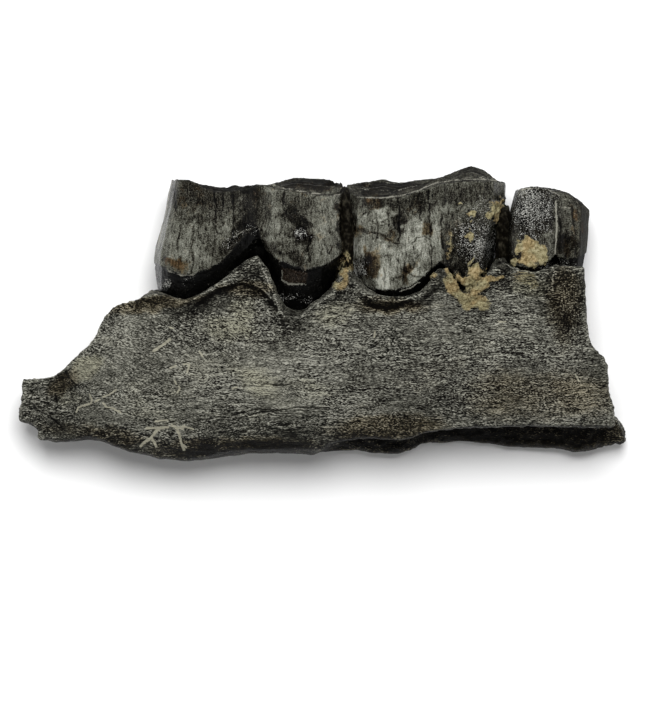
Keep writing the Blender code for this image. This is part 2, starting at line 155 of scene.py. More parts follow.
BONE_SEDIMENT = [
    (474, 301, 15, 8, 100, 8), (463, 297, 7, 6, 90), (467, 306, 7, 5, 90), (484, 308, 6, 4, 80),
    (451, 287, 5, 10, 90, -38), (484, 284, 4, 10, 90, 40), (345, 272, 5, 12, 80), (341, 287, 8, 6, 60, -30),
    (433, 276, 6, 3, 70, -20), (498, 277, 9, 2, 90, -8), (526, 279, 17, 9, 45, 15),
]
# What lies below the channel's upper lip, and the bone's lower edge: both are darkened with painted shade.
CHANNEL_OUTLINE = [
    (322, 452), (338, 445), (366, 440.5), (402, 441.5), (422, 435), (459, 430), (527, 428), (613, 428),
    (645, 430), (645, 480), (322, 480),
]
LOWER_EDGE = [
    (62, 441), (100, 441), (130, 450), (155, 457), (178, 461), (222, 457), (266, 453), (300, 451),
    (338, 449),
]
# Where the grain curls, how many degrees it turns there, and where it stands upright in the broken bone.
CURLY_GRAIN = [(135, 345, 70, 45, 100), (225, 330, 60, 40, 50)]
CURL_TURN = 32
BROKEN_COLUMN = (571, 302, 17, 42, 100)
# How far lines on the bone stand out in millimetres, how much they darken it, and their widths in pixels.
LINE_RELIEFS = [
    ([ARCH_RIDGE], 0.12, 4.5), ([ARCH_CREVICE], -0.12, 5.0), (SOCKET_RIMS, 0.1, 3.0),
    (RIM_CREVICES, -0.1, 4.0),
]
LINE_SHADOWS = [
    (SOCKET_RIMS + [ARCH_RIDGE], 0.22, 17.0), ([ARCH_CREVICE], 0.1, 7.0), (RIM_CREVICES, 0.06, 7.0),
    ([LOWER_EDGE], 0.2, 12.0),
]
# Pale marks cut into the bone, broad and fine.
GOUGES = [
    [(147, 428), (156, 428), (168, 427)],
    [(140.5, 446.5), (145, 442), (151, 437.5), (156, 431), (163, 427)],
    [(152, 438), (154, 442), (156, 446)], [(172, 425), (177, 428), (183, 428)],
    [(177, 428), (180, 435), (182, 444), (184, 450)], [(182, 444), (186, 447)],
    [(154, 351), (163, 345), (170, 339)],
]
SCRATCHES = [
    [(184.5, 364), (190, 364), (189, 368), (187.5, 372)], [(171, 368), (176, 366)],
    [(175, 381), (177, 384)], [(179, 386), (180, 388), (178, 392)],
    [(76, 412), (79, 407), (86, 405), (91, 403), (92, 399), (90, 394)], [(95, 402), (100, 399.5)],
    [(103.5, 397), (109, 395), (113, 392), (116, 390)], [(156, 421), (168, 420)],
    [(103.5, 403), (106.5, 407), (113, 408), (121, 412)], [(170, 327), (173, 328)],
    [(200, 352), (203, 356)], [(233, 389), (237, 387)], [(375, 331), (374, 337)], [(498, 322), (505, 322)],
    [(575, 375), (578, 381)], [(183, 426), (194, 429)],
]

# Teeth. Enamel bases run along each tooth at the cheek face, and at the tongue face.
FRONT_BASE = [
    (145, 255), (155, 263), (166, 270), (183, 275), (194, 275), (207, 269), (221, 262), (231, 252),
    (245, 235), (258, 227), (261, 240), (266, 251), (276, 259), (290, 265), (300, 268), (310, 269),
    (328, 264), (339, 256), (350, 248),
]
FRONT_TONGUE_BASE = [
    (145, 262), (165, 272), (200, 275), (240, 262), (255, 250), (270, 262), (300, 272), (330, 268),
    (350, 258),
]
MIDDLE_BASE = [
    (345, 262), (351, 273), (357, 282), (369, 288), (383, 291), (397, 290), (409, 287), (418, 281),
    (427, 274), (434, 267), (440, 261), (446, 268), (456, 276), (466, 279), (478, 276), (488, 268),
    (500, 258), (510, 250),
]
MIDDLE_TONGUE_BASE = [
    (345, 255), (365, 268), (395, 275), (425, 268), (440, 258), (455, 266), (475, 268), (500, 258),
    (510, 250),
]
REAR_BASE = [
    (498, 248), (504, 258), (514, 266), (528, 268), (540, 265), (552, 259), (558, 257), (568, 259),
    (578, 258), (590, 252),
]
REAR_TONGUE_BASE = [(498, 245), (515, 258), (545, 262), (570, 256), (590, 248)]

# Each tooth's patches of lighter and darker enamel, partly its own colour and partly painted shade in its
# grooves, pits and beside the gaps between teeth.
FRONT_TONES = [
    (192, 196, 25, 16, -20), (191, 210, 11, 5, 12), (228, 238, 7, 7, -14), (269, 216, 4, 12, -14),
    (204, 184, 22, 5, -10, 5), (196, 219, 15, 3, -20, 8), (188, 246, 24, 22, 14), (163, 236, 6, 30, 12, 8),
    (225, 203, 12, 20, -14), (240, 190, 12, 9, -20), (226, 226, 5, 16, 16, 5), (251, 206, 9, 28, -32, 10),
    (244, 230, 10, 13, -24, 35), (232, 248, 13, 8, -24, -40), (206, 238, 3, 12, -14, -15),
    (263, 203, 5, 20, -5, 8), (216, 252, 9, 9, -14, -30), (179, 259, 2, 5, -30), (206, 260, 8, 6, 2),
    (302, 233, 9, 11, -42, 25), (295, 218, 12, 7, -34, 35), (306, 246, 4, 10, -24, -10),
    (296, 257, 9, 6, -30), (297, 203, 16, 8, -14), (277, 208, 5, 22, 12, 5), (270, 188, 3, 8, 16),
    (273, 234, 11, 11, 14), (276, 249, 13, 5, -22, 30), (326, 222, 14, 32, 13), (316, 256, 18, 10, 10),
    (343, 226, 4, 34, -30), (262, 240, 5, 14, -22), (256, 208, 3, 9, 14, 15), (340, 208, 5, 7, -30),
    (312, 184, 30, 6, -30, 3), (310, 264, 16, 4, -10, -8), (331, 246, 3, 12, -16, 5),
]
FRONT_BROWNS = [
    (178, 265, 13, 6, 100, 12), (192, 199, 24, 18, 42), (339, 208, 4, 6, 80), (295, 203, 5, 3, 50),
    (312, 188, 26, 6, 50), (318, 220, 7, 24, 30), (258, 196, 6, 16, 40, 8),
]
ROOT_TAB = [(281, 268), (282, 280), (289, 284), (306, 284), (308, 273)]
FRONT_RUST = [(176, 264, 10, 4, 100, 12), (295, 274, 12, 8, 20)]
FRONT_SEDIMENT = [(345, 262, 3, 16, 70)]
# Painted glints: pale lines along the front molar's top edges, its turned left edge, its base and the root
# tab's outline, and along a ridge.
FRONT_EDGE_GLINTS = [
    [(271, 184), (281, 188), (295, 190), (306, 192), (312, 196)],
    [(172, 182), (167, 205), (162, 225), (158, 248)], [(312, 193), (322, 194)], [(334, 195), (344, 194)],
    [(281, 180), (292, 178)], [(316, 178), (330, 179)], [(282, 270), (282, 280), (289, 284), (306, 284)],
    [(168, 271), (180, 275), (194, 275)],
]
FRONT_RIDGE_GLINTS = [[(230, 244), (234, 238), (239, 233), (246, 230), (254, 228)], [(262, 235), (263, 243)]]
FRONT_CRACKS = [
    [(197, 231), (200, 238), (204, 244)], [(193, 226), (192, 250), (193, 268)],
    [(214, 190), (216, 206), (215, 222)], [(213, 224), (217, 232), (221, 234)],
    [(181, 228), (178, 240), (177, 250)], [(174, 190), (176, 210)], [(233, 195), (234, 222), (232, 240)],
    [(284, 192), (283, 206), (286, 215)], [(325, 244), (329, 254), (333, 245)],
    [(309, 262), (308, 248), (311, 236)], [(222, 192), (224, 206)], [(340, 214), (342, 236)],
]

MIDDLE_TONES = [
    (360, 248, 11, 12, 30), (385, 258, 11, 18, 26), (399, 256, 9, 9, 26), (394, 240, 36, 40, 5),
    (376, 216, 18, 11, 27), (416, 236, 14, 18, 32), (437, 236, 6, 26, 20), (418, 270, 11, 10, 28, -30),
    (394, 280, 16, 9, 24), (380, 282, 6, 9, 30), (371, 203, 13, 8, -16), (367, 209, 8, 6, -22),
    (395, 250, 6, 6, -22), (423, 251, 7, 8, 14), (409, 237, 6, 6, -12), (353, 250, 6, 6, 15),
    (388, 202, 14, 5, -20), (416, 203, 16, 9, -22), (400, 222, 4, 9, -40), (395, 208, 7, 7, -10),
    (349, 226, 5, 30, -20), (391, 236, 9, 6, -14, 10), (369, 256, 5, 8, -40, 10), (356, 268, 10, 10, -52),
    (372, 268, 8, 10, -30), (406, 273, 13, 5, -40, -48), (404, 280, 9, 4, -16, -30),
    (425, 227, 5, 6, -40, -20), (431, 281, 10, 5, -40, -20), (446, 246, 5, 26, -20),
    (474, 192, 32, 10, -12), (461, 206, 9, 8, 2), (447, 212, 5, 6, 14), (448, 238, 4, 6, 16),
    (478, 240, 22, 24, -24, -20), (458, 250, 10, 20, -16), (492, 256, 9, 14, -24),
    (498, 236, 5, 30, -30, 8), (386, 188, 30, 6, -30, -4), (470, 168, 14, 8, -14), (462, 268, 26, 6, -28),
    (474, 262, 2, 8, 30), (453, 197, 10, 8, -8), (408, 214, 4, 9, -6), (425, 196, 14, 5, -12, -20),
]
MIDDLE_BROWNS = [
    (370, 256, 9, 9, 90, -10), (372, 268, 10, 12, 100), (356, 268, 12, 10, 50), (371, 203, 10, 7, 80),
    (356, 232, 8, 8, 80), (425, 227, 6, 7, 90), (407, 272, 14, 7, 70, -48), (390, 236, 11, 7, 70, 15),
    (416, 205, 10, 8, 40), (455, 240, 12, 20, 35), (386, 188, 26, 5, 50, -4), (396, 264, 5, 5, 30),
    (478, 190, 26, 8, 25),
]
MIDDLE_RUST = [(374, 270, 6, 7, 35), (354, 231, 6, 5, 30), (372, 202, 7, 5, 30)]
MIDDLE_SEDIMENT = [
    (496, 211, 8, 9, 100, 5), (470, 215, 5, 4, 95), (460.7, 205.5, 2.6, 2.6, 100), (470, 235, 4, 4, 80),
    (502, 202, 4, 5, 80), (472, 283, 12, 7, 100), (461, 278, 6, 5, 100), (478, 273, 7, 5, 100, -15),
    (473, 262, 2, 5, 70), (346, 265, 3, 18, 70), (452, 273, 5, 4, 55, 30), (450, 246, 4, 12, 50),
]
# Painted glints along the middle molar's top edges, its base and ridges on its top.
MIDDLE_EDGE_GLINTS = [
    [(357, 197), (383, 198), (403, 195), (420, 190), (432, 184), (454, 180), (481, 179), (506, 181)],
    [(400, 291), (411, 288), (420, 282)],
]
MIDDLE_RIDGE_GLINTS = [
    [(359, 188), (368, 190)], [(379, 190), (394, 191), (407, 188), (417, 186)], [(386, 183), (403, 183)],
    [(455, 180), (470, 177), (488, 177), (498, 179)],
]
MIDDLE_CRACKS = [
    [(354, 228), (362, 229), (370, 232), (378, 233), (385, 236), (391, 241), (398, 244)],
    [(354, 230), (362, 231), (369, 234)], [(398, 198), (400, 212), (399, 224), (400, 236), (399, 244)],
    [(385, 268), (384, 280), (385, 290)], [(431, 222), (430, 240), (432, 256), (431, 270)],
    [(442, 214), (441, 230), (443, 250)], [(412, 244), (417, 238), (424, 236), (430, 240)],
    [(372, 220), (374, 224), (381, 223), (387, 220)], [(376, 212), (378, 226), (377, 238)],
    [(420, 206), (421, 220)], [(362, 216), (366, 212)], [(388, 210), (389, 226)],
    [(428, 186), (429, 204), (430, 222)], [(404, 270), (414, 276), (426, 279)],
]
REAR_TONES = [
    (530, 210, 20, 26, -45), (520, 192, 6, 5, 25), (534, 214, 8, 20, 10), (566, 246, 12, 11, -36, 20),
    (568, 216, 7, 22, -8), (579, 216, 6, 22, -8, -8), (508, 235, 5, 22, -34, 8), (512, 258, 7, 7, -30),
    (552, 212, 3, 24, -24), (571, 263, 14, 5, -20), (540, 190, 18, 4, -6, 5), (560, 232, 3, 20, -20),
]
REAR_BROWNS = [
    (579, 220, 7, 26, 60, -8), (566, 247, 12, 10, 60), (514, 258, 6, 5, 50), (520, 206, 8, 14, 10),
]
REAR_RUST = [(579, 222, 5, 16, 40, -8)]
REAR_SEDIMENT = [
    (532, 251, 14, 9, 100, 12), (529, 242, 9, 6, 95), (541, 256, 8, 6, 90), (521, 250, 7, 7, 90),
    (526, 262, 12, 4, 85, 5), (520, 238, 5, 3, 50),
]
# Painted glints along the rear molar's top edges; the seam below is its real pale crack.
REAR_EDGE_GLINTS = [
    [(518, 190), (532, 188), (548, 190), (562, 196)], [(562, 199), (570, 200)], [(560, 207), (570, 208)],
]
REAR_SEAMS = [[(556, 201), (556, 214), (557, 226), (556, 240), (555, 254)]]
REAR_CRACKS = [
    [(558, 214), (560, 226), (559, 240)], [(521, 196), (519, 214)], [(534, 194), (535, 212)],
    [(572, 206), (574, 226)],
]
# Where light specks, partly painted glints, cover dark enamel, on any of the teeth.
SPECKS_AND_GLINTS = [
    (478, 240, 20, 24, 80, -20), (532, 204, 22, 30, 105), (165, 283, 5, 4, 60), (188, 281, 5, 4, 50),
    (290, 298, 12, 6, 30), (310, 302, 7, 4, 30), (355, 268, 11, 10, 130), (232, 240, 12, 5, 60, -42),
    (252, 228, 8, 4, 50, -10), (301, 234, 6, 6, 100), (556, 268, 20, 8, 50), (482, 206, 10, 12, 40),
]

# Where the bone's rough ends start, and the middle, the top and the start of the open channel in it.
FRONT_END_X, BACK_END_X = -25.5, 27.2
CANAL_Y, CANAL_Z = -12.5, 5.4
CANAL_TOP_Y, CANAL_TOP_Z, CANAL_START_X = -7.5, 9.6, -1.0
# The shader's lines lie on the cheek side only. They start at the first height and are full at the second.
CHEEK_SIDE_FROM = (5.0, 6.0)

# The lobes of each tooth along X, and the hollows worn into them.
LOBES = {
    "front_molar": [(-16.2, -6.2), (-6.2, 2.3)],
    "middle_molar": [(3.2, 11.7), (11.7, 17.5)],
    "rear_molar": [(18.3, 23.3), (23.3, 26.6)],
}
PIT_MIDDLE_Z, PIT_CURVE, PIT_WIDTH, PIT_REACH, PIT_DEPTH = 5.9, 1.7, 0.6, 0.72, 1.0
TROUGH_OFFSET, TROUGH_WIDTH, TROUGH_REACH, TROUGH_DEPTH = 1.35, 0.55, 0.92, 0.35
TOOTH_TOP_Y, BROKEN_TOOTH_X = 8.5, 24.0
# Each clod of mud, whose black also stands for the shade deep in its gap: its middle, half its size, and its
# lean, from this height down.
MUD_LEANS_FROM = 9.75
MUD_AND_SHADE_CLODS = {
    "front_mud_and_shade": ((2.65, 7.2, 6.0), (0.85, 5.0, 1.9), -0.13),
    "rear_mud_and_shade": ((17.75, 7.0, 6.0), (0.8, 3.7, 1.8), 0.1),
}

# Light: the room's walls and ceiling, how steeply up the ceiling starts and is full, and the lamp. A surface
# that faces the camera is lit LIGHT times as strongly as it is coloured. The lamp and floor are in metres.
WALL_LIGHT, CEILING_LIGHT, CEILING_EDGE = 0.68, 0.05, (0.5, 0.85)
LAMP_POWER, LAMP_SIZE, LAMP_PLACE = 3.6, 0.32, (0.02, 0.20, 0.50)
LIGHT = 1.9
FLOOR_SIZE = 1.5

BONE = bpy.data.materials.new("mineralised_bone")
ENAMEL = bpy.data.materials.new("tooth_enamel")
MUD_AND_SHADE = bpy.data.materials.new("dried_mud_and_gap_shade")


def ease(t):
    """0 below 0, 1 above 1, and a smooth climb between."""
    t = np.clip(t, 0.0, 1.0)
    return t * t * (3 - 2 * t)


def cos_and_sin(degrees=0.0):
    return math.cos(math.radians(degrees)), math.sin(math.radians(degrees))


def line_distance(seen, line):
    """Each pixel's distance from a line."""
    nearest = np.full(len(seen), np.inf)
    for start, end in zip(np.array(line, float), np.array(line[1:], float)):
        run = end - start
        share = np.clip((seen - start) @ run / (run @ run), 0, 1)
        nearest = np.minimum(nearest, np.linalg.norm(seen - start - share[:, None] * run, axis=1))
    return nearest


def on_lines(seen, lines, width):
    """1 on any of the lines, fading to 0 at a width to each side."""
    nearest = np.min([line_distance(seen, line) for line in lines], axis=0)
    return ease(1 - nearest / width)


def patch_strengths(seen, patches):
    """Each patch's strength at each pixel: its full percent inside it, fading out past its reach."""
    strengths = []
    for across, down, reach_across, reach_down, percent, *turn in patches:
        away = seen - (across, down)
        cos, sin = cos_and_sin(*turn)
        along = (away[:, 0] * cos + away[:, 1] * sin) / reach_across
        over = (away[:, 1] * cos - away[:, 0] * sin) / reach_down
        strengths.append(percent / 100 * ease(1.5 - np.hypot(along, over)))
    return strengths


def lumps(points, size, stretch=(1, 1, 1), *, octaves, seed):
    """Smooth noise at each point, from about -1 to 1, with lumps of a size."""
    places = points / (np.array(stretch) * size) + seed * SEED_GAP
    return np.array([noise.fractal(place, 1.0, 2.0, octaves) for place in places.tolist()])


def add_object(name, data):
    """A new object in the scene."""
    thing = bpy.data.objects.new(name, data)
    bpy.context.scene.collection.objects.link(thing)
    return thing


def read_rows(items, name, width, kind):
    """One row of numbers for each item of a mesh."""
    numbers = np.empty(len(items) * width, kind)
    items.foreach_get(name, numbers)
    return numbers.reshape(-1, width)


class Relief:
    """The fine mesh of a piece while it is carved, and the pixel that shows each of its points."""

    def __init__(self, node):
        spacing, rounds = FINE_MESH[node]
        self.node = node
        self.data = self.fine_copy(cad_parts[node].data, spacing)
        self.points = read_rows(self.data.vertices, "co", 3, float)
        self.ends = read_rows(self.data.edges, "vertices", 2, int)
        self.links = np.bincount(self.ends.ravel(), minlength=len(self.points))
        self.even_out(rounds)

    def fine_copy(self, solid, spacing):
        """The solid's loose triangles merged and covered with an even mesh."""
        mesh = bmesh.new()
        mesh.from_mesh(solid)
        bmesh.ops.remove_doubles(mesh, verts=mesh.verts, dist=WELD)
        bmesh.ops.scale(mesh, vec=(1 / MM, 1 / MM, 1 / MM), verts=mesh.verts)
        coarse = bpy.data.meshes.new("coarse")
        mesh.to_mesh(coarse)
        mesh.free()
        thing = add_object("coarse", coarse)
        remesh = thing.modifiers.new("fine", "REMESH")
        remesh.mode = "VOXEL"
        remesh.voxel_size = spacing
        fine = bpy.data.meshes.new_from_object(thing.evaluated_get(bpy.context.evaluated_depsgraph_get()))
        bpy.data.objects.remove(thing)
        bpy.data.meshes.remove(coarse)
        return fine

    def beside(self, values):
        """For each point, the mean of the values at the points beside it."""
        count = len(self.points)
        first, second = self.ends.T
        columns = []
        for column in values.T:
            total = np.bincount(first, column[second], count) + np.bincount(second, column[first], count)
            columns.append(total / self.links)
        return np.column_stack(columns)

    def even_out(self, rounds):
        """Smooths the facets away. Each round shrinks the piece and then swells it again."""
        for share in (0.5, -0.52) * rounds:
            self.points += share * (self.beside(self.points) - self.points)
        self.read()

    def read(self):
        """Reads the normals and the pixels again, after the points have moved."""
        self.data.vertices.foreach_set("co", self.points.ravel())
        self.data.update()
        self.normals = read_rows(self.data.vertex_normals, "vector", 3, float)
        nearer = CAMERA_DISTANCE / (CAMERA_DISTANCE - (self.points[:, 2] - SUBJECT_HEIGHT))
        across = PHOTO_SIZE[0] / 2 + (self.points[:, 0] - PHOTO_MIDDLE[0]) * nearer / PIXEL
        down = PHOTO_SIZE[1] / 2 - (self.points[:, 1] - PHOTO_MIDDLE[1]) * nearer / PIXEL
        self.seen = np.column_stack((across, down))
        self.facing = ease((self.normals[:, 2] + 0.15) / 0.4)

    def move(self, heights):
        """Moves each point out along its normal."""
        self.points += self.normals * heights[:, None]

    def hollowness(self, rounds):
        """How deep each point lies below a smoothed copy of the piece. Ridges are below 0."""
        smooth = self.points
        for _ in range(rounds):
            smooth = smooth + 0.5 * (self.beside(smooth) - smooth)
        return np.einsum("ij,ij->i", smooth - self.points, self.normals)

    def wandering(self, size, reach):
        """The pixels moved about by noise, so that a patch laid on them has an uneven edge."""
        drift = [lumps(self.points, size, octaves=4, seed=seed) for seed in (1, 2)]
        return self.seen + reach * np.column_stack(drift)

    def patched(self, patches, seen):
        """The strongest of the patches at each point that the photograph shows."""
        return np.max(patch_strengths(seen, patches), axis=0) * self.facing

    def toned(self, patches, seen):
        """The sum of the patches at each point that the photograph shows."""
        return np.sum(patch_strengths(seen, patches), axis=0) * self.facing

    def paint(self, **layers):
        """Keeps each layer's value for each point, for the finish to read."""
        for name, values in layers.items():
            layer = self.data.attributes.new(name, "FLOAT", "POINT")
            layer.data.foreach_set("value", np.asarray(values, np.float32))

    def finish(self, name, material, slot):
        """The finished piece, in metres, in place of its solid."""
        low, high = (np.array(corner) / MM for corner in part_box(self.node))
        self.points = np.clip(self.points, low, high)
        self.data.vertices.foreach_set("co", (self.points * MM).ravel())
        self.data.update()
        self.data.polygons.foreach_set("use_smooth", np.ones(len(self.data.polygons), bool))
        self.data.materials.clear()
        self.data.materials.append(material)
        piece = add_object(name, self.data)
        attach(piece, "root")
        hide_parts(self.node)


class Shade:
    """A number, colour or place that varies over a surface. Sums on it add Math nodes to its finish."""

    def __init__(self, finish, socket):
        self.finish, self.socket = finish, socket

    def sum(self, operation, first, second):
        return self.finish.sum(operation, first, second)

    def __add__(self, other):
        return self.sum("ADD", self, other)

    def __radd__(self, other):
        return self.sum("ADD", other, self)

    def __sub__(self, other):
        return self.sum("SUBTRACT", self, other)

    def __rsub__(self, other):
        return self.sum("SUBTRACT", other, self)

    def __mul__(self, other):
        return self.sum("MULTIPLY", self, other)

    def __rmul__(self, other):
        return self.sum("MULTIPLY", other, self)


class Finish:
    """The nodes of a material, or of the room round the fossil."""

    def __init__(self, owner, shader="Principled BSDF"):
        owner.use_nodes = True
        self.tree = owner.node_tree
        self.shader = self.tree.nodes[shader]

    def node(self, kind, settings, sockets, output=0):
        """Adds a node, with its settings and then its sockets' values or links, and gives an output."""
        node = self.tree.nodes.new("ShaderNode" + kind)
        stops = settings.pop("stops", None)
        for name, value in settings.items():
            setattr(node, name, value)
        if stops:
            self.set_stops(node.color_ramp.elements, stops)
        for key, value in sockets.items():
            self.fill(node.inputs[key], value)
        return Shade(self, node.outputs[output])

    def set_stops(self, elements, stops):
        """Sets a ramp's stops, each from its position and its colour's red, green and blue."""
        while len(elements) < len(stops):
            elements.new(1.0)
        for element, (position, *shown) in zip(elements, stops):
            element.position = position
            element.color = colour(*shown)

    def fill(self, socket, value):
        """Links a socket to a shade, or sets it to a value."""
        if isinstance(value, Shade):
            self.tree.links.new(value.socket, socket)
        else:
            socket.default_value = value

    def set(self, name, value):
        self.fill(self.shader.inputs[name], value)

    def sum(self, operation, first, second):
        return self.node("Math", {"operation": operation}, {0: first, 1: second})

    def vector(self, operation, first, second, output=0):
        return self.node("VectorMath", {"operation": operation}, {0: first, 1: second}, output)

    def scaled(self, vector, factor):
        return self.node("VectorMath", {"operation": "SCALE"}, {0: vector, "Scale": factor})

    def places(self):
        """Each place on the surface, in millimetres."""
        return self.scaled(self.node("TexCoord", {}, {}, output="Object"), 1 / MM)

    def part(self, vector, axis):
        """The X, Y or Z of a vector."""
        return self.node("SeparateXYZ", {}, {0: vector}, output=axis)

    def painted(self, name):
        """A value that a piece's points were painted with."""
        return self.node("Attribute", {"attribute_name": name}, {}, output="Fac")

    def noise(self, places, size, stretch=(1, 1, 1), detail=2.0, roughness=0.5, output=0):
        """Noise around 0.5, with grains of this size in millimetres, stretched along each axis."""
        spread = self.vector("MULTIPLY", places, tuple(1 / (size * along) for along in stretch))
        sockets = {"Vector": spread, "Scale": 1.0, "Detail": detail, "Roughness": roughness}
        return self.node("TexNoise", {}, sockets, output)

    def threads(self, noise, width):
        """1 along the thin wandering lines where the noise is 0.5, fading to 0 at a width to each side."""
        return self.rise(self.sum("ABSOLUTE", noise - 0.5, 0), width, 0.0)

    def wandered(self, places, size, reach):
        """Places moved about by noise, so that a pattern laid on them wanders."""
        drift = self.vector("SUBTRACT", self.noise(places, size, output=1), (0.5, 0.5, 0.5))
        return self.vector("ADD", places, self.scaled(drift, reach))

    def on_lines(self, places, lines, width):
        """1 on the lines of pixels, on the cheek side, fading to 0 at a width in millimetres."""
        flat = self.vector("MULTIPLY", places, (1, 1, 0))
        nearest = None
        for line in lines:
            corners = [pixel_place(*pixel) for pixel in line]
            for start, end in zip(corners, corners[1:]):
                run = end - start
                away = self.vector("SUBTRACT", flat, start)
                share = self.vector("DOT_PRODUCT", away, run / (run @ run), output="Value")
                nearby = self.scaled(run, self.node("Clamp", {}, {0: share}))
                gap = self.vector("DISTANCE", away, nearby, output="Value")
                nearest = self.sum("MINIMUM", nearest, gap) if nearest else gap
        return self.rise(nearest, width, 0.0) * self.rise(self.part(places, "Z"), *CHEEK_SIDE_FROM)

    def turned(self, places, degrees):
        """Places turned in the plane of the cheek side."""
        settings = {"rotation_type": "Z_AXIS"}
        return self.node("VectorRotate", settings, {"Vector": places, "Angle": math.radians(degrees)})

    def rise(self, value, low, high):
        """0 where the value is under low, 1 where it is over high, with a smooth climb between."""
        settings = {"interpolation_type": "SMOOTHSTEP"}
        return self.node("MapRange", settings, {"Value": value, "From Min": low, "From Max": high})

    def mixed(self, share, first, second):
        """A number between two others."""
        return self.node("Mix", {"data_type": "FLOAT"}, {0: share, 2: first, 3: second})

    def blend(self, share, first, second):
        """A colour between two others."""
        settings = {"data_type": "RGBA"}
        return self.node("Mix", settings, {0: share, 6: first, 7: second}, output=2)

    def ramp(self, value, stops):
        """A colour for each value. Each stop is a position, and its colour's red, green and blue."""
        return self.node("ValToRGB", {"stops": stops}, {"Fac": value})

    def bump(self, height, depth):
        """A surface raised by up to a depth in millimetres where the height is 1."""
        return self.node("Bump", {}, {"Strength": 1.0, "Distance": depth * MM, "Height": height})


def pixel_place(across, down):
    """The place on the cheek side that a pixel shows, in millimetres."""
    x = PHOTO_MIDDLE[0] + (across - PHOTO_SIZE[0] / 2) * PIXEL
    return np.array((x, PHOTO_MIDDLE[1] - (down - PHOTO_SIZE[1] / 2) * PIXEL, 0.0))


def colour(red, green, blue):
    """A colour as it looks under the scene's light, from its values of 0 to 255."""
    channels = []
    for value in (red, green, blue):
        value /= 255
        channels.append((value / 12.92 if value <= 0.04045 else ((value + 0.055) / 1.055) ** 2.4) / LIGHT)
    return (*channels, 1.0)


def bone_finish(material):
    """Grey fibrous bone with painted shade in its hollows and crevices, pale edges that are partly worn and
    partly painted highlight, scratches and tan sediment.
    """
    finish = Finish(material)
    places = finish.places()
    wavy = finish.wandered(finish.wandered(places, 2.2, 0.9), 0.8, 0.25)
    swirled = finish.wandered(finish.turned(places, CURL_TURN), 0.9, 0.9)
    curly, upright = finish.painted("curly"), finish.painted("upright")
    straight_grain = finish.noise(wavy, 0.13, (12, 1, 3), detail=3, roughness=0.8)
    curly_grain = finish.noise(swirled, 0.15, (5, 1, 3), detail=3, roughness=0.8)
    upright_grain = finish.noise(wavy, 0.15, (1, 7, 2), detail=3, roughness=0.8)
    grain = finish.mixed(upright, finish.mixed(curly, straight_grain, curly_grain), upright_grain) - 0.5
    speckle = finish.noise(wavy, 0.074, (3.2, 1, 1.5), detail=1, roughness=0.6) - 0.5
    broad = finish.noise(places, 3.0, (1.6, 1, 1), detail=4, roughness=0.6) - 0.5
    straight_fibres = finish.noise(wavy, 0.22, (14, 1, 3), detail=2, roughness=0.6)
    curly_fibres = finish.noise(swirled, 0.24, (6, 1, 3), detail=2, roughness=0.6)
    fibres = finish.threads(finish.mixed(curly, straight_fibres, curly_fibres), 0.055) * (1 - upright)
    creases = finish.noise(wavy, 0.42, (11, 1, 3), detail=1)
    creases = finish.threads(creases, 0.028) * finish.rise(broad, -0.08, 0.02)
    strength = finish.rise(finish.noise(places, 3.4, (2, 1, 1), detail=2), 0.36, 0.64) * 0.7 + 0.68
    tone = 0.575 + (grain * 1.6 + speckle * 2.7 - fibres * 0.34) * strength + broad * 0.6
    # Painted shade: the hollow layer darkens the bone in its hollows and lightens its ridges a little.
    tone = tone + finish.painted("tone") - finish.painted("hollow") - creases * 0.3
    # Pale edges, partly worn and partly painted highlight; painted shade along the crevices; real dark
    # cracks.
    edges = finish.on_lines(finish.wandered(places, 0.6, 0.35), PALE_EDGES, 0.13)
    edges = edges * finish.rise(speckle, -0.14, 0.08)
    cracks = finish.on_lines(finish.wandered(places, 1.2, 0.4), DARK_CRACKS, 0.13)
    cracks = cracks * finish.rise(speckle, -0.2, 0.0)
    crevices = finish.on_lines(finish.wandered(places, 0.9, 0.35), CREVICE_SHADOWS, 0.3)
    tone = tone + edges * 0.55 - cracks * 0.5 - crevices * 0.42
    shade = finish.ramp(tone, [
        (0.0, 4, 3, 2), (0.2, 36, 34, 28), (0.45, 91, 91, 82), (0.7, 143, 142, 130), (1.0, 205, 204, 190),
    ])
    yellow = finish.rise(finish.painted("yellow") + broad * 1.4 + grain, 0.1, 1.0)
    shade = finish.blend(yellow, shade, finish.ramp(tone, [
        (0.0, 6, 5, 2), (0.2, 40, 38, 27), (0.45, 94, 92, 79), (1.0, 200, 198, 174),
    ]))
    brown = finish.rise(finish.painted("brown") + broad * 1.2 + grain * 0.8, 0.1, 0.9)
    shade = finish.blend(brown, shade, finish.ramp(tone, [
        (0.0, 6, 4, 1), (0.2, 34, 29, 18), (0.45, 84, 77, 59), (1.0, 190, 182, 158),
    ]))
    shaky = finish.wandered(places, 0.9, 0.25)
    scratches = finish.on_lines(shaky, SCRATCHES, 0.17) + finish.on_lines(shaky, GOUGES, 0.25)
    scratches = finish.rise(scratches + speckle * 1.2, 0.25, 0.6)
    shade = finish.blend(scratches * 0.85, shade, colour(204, 200, 178))
    sediment = finish.rise(finish.painted("sediment") + speckle * 0.7 + grain * 0.9, 0.35, 0.65)
    shade = finish.blend(sediment, shade, sediment_colour(finish, places))
    finish.set("Base Color", shade)
    finish.set("Specular IOR Level", 0.14)
    finish.set("Roughness", 0.65 + speckle * 0.4)
    finish.set("Normal", finish.bump(grain * 0.5 + speckle * 0.3 - fibres * 0.3 - creases * 0.2, 0.14))


def sediment_colour(finish, places):
    """Tan and cream grains of dried mud."""
    grains = finish.noise(places, 0.25, detail=4, roughness=0.7)
    cream = finish.ramp(grains, [
        (0.3, 66, 56, 34), (0.42, 136, 126, 92), (0.52, 176, 166, 126), (0.65, 208, 200, 162),
    ])
    tan = finish.ramp(grains, [
        (0.3, 68, 53, 30), (0.42, 140, 121, 83), (0.52, 182, 161, 116), (0.65, 218, 198, 154),
    ])
    return finish.blend(finish.rise(finish.noise(places, 1.6, detail=2), 0.45, 0.62), cream, tan)


